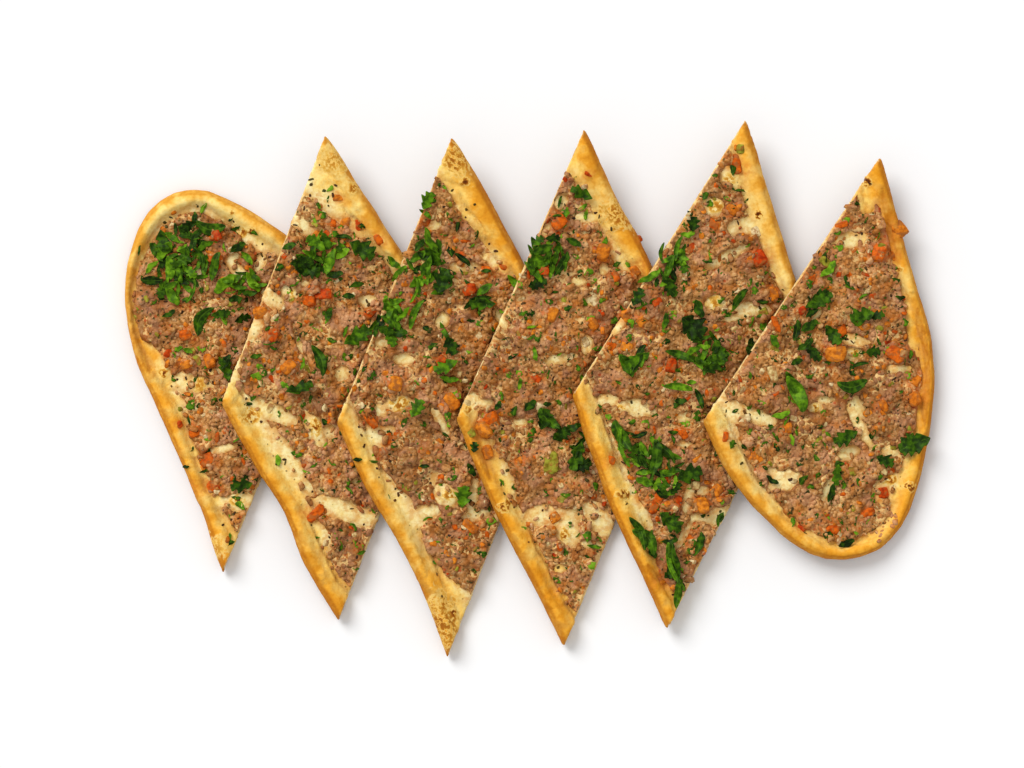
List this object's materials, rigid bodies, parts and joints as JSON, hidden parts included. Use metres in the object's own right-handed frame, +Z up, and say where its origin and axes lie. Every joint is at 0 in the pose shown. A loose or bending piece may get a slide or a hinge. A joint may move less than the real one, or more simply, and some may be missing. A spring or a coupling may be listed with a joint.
{
  "type": "ground beef pide",
  "caption": "Boat-shaped flatbread with a low baked crust, topped with crumbly ground beef, diced vegetables and parsley, cut on the slant into slices that lean in a row.",
  "frame": {"origin": "under the middle of the row of slices, at the level they stand on", "axes": "+X along the row, towards the last slice with the rounded end; +Y towards the slices' upper tips as seen from above; +Z up"},
  "size_m": [0.3734, 0.2484, 0.0301],
  "materials": {
    "bread": "baked dough, cream with golden brown edges",
    "beef": "cooked minced beef with diced tomato and pepper, slightly moist",
    "parsley": "fresh chopped parsley"
  },
  "bodies": {
    "root": {"slice_1_beef": "beef", "slice_1_bread": "bread", "slice_1_leaf_1": "parsley", "slice_1_leaf_2": "parsley", "slice_1_leaf_3": "parsley", "slice_1_leaf_4": "parsley", "slice_1_parsley_1": "parsley", "slice_1_parsley_2": "parsley", "slice_2_beef": "beef", "slice_2_bread": "bread", "slice_2_leaf_1": "parsley", "slice_2_leaf_2": "parsley", "slice_2_leaf_3": "parsley", "slice_2_parsley_1": "parsley", "slice_3_beef": "beef", "slice_3_bread": "bread", "slice_3_leaf_1": "parsley", "slice_3_leaf_2": "parsley", "slice_3_leaf_3": "parsley", "slice_3_leaf_4": "parsley", "slice_3_parsley_1": "parsley", "slice_3_parsley_2": "parsley", "slice_4_beef": "beef", "slice_4_bread": "bread", "slice_4_leaf_1": "parsley", "slice_4_leaf_2": "parsley", "slice_4_leaf_3": "parsley", "slice_4_parsley_1": "parsley", "slice_5_beef": "beef", "slice_5_bread": "bread", "slice_5_leaf_1": "parsley", "slice_5_leaf_2": "parsley", "slice_5_leaf_3": "parsley", "slice_5_leaf_4": "parsley", "slice_5_parsley_1": "parsley", "slice_5_parsley_2": "parsley", "slice_5_parsley_3": "parsley", "slice_6_beef": "beef", "slice_6_bread": "bread", "slice_6_leaf_1": "parsley", "slice_6_leaf_2": "parsley", "slice_6_leaf_3": "parsley", "slice_6_leaf_4": "parsley", "slice_6_leaf_5": "parsley", "slice_6_leaf_6": "parsley", "slice_6_leaf_7": "parsley"}
  },
  "joints": []
}
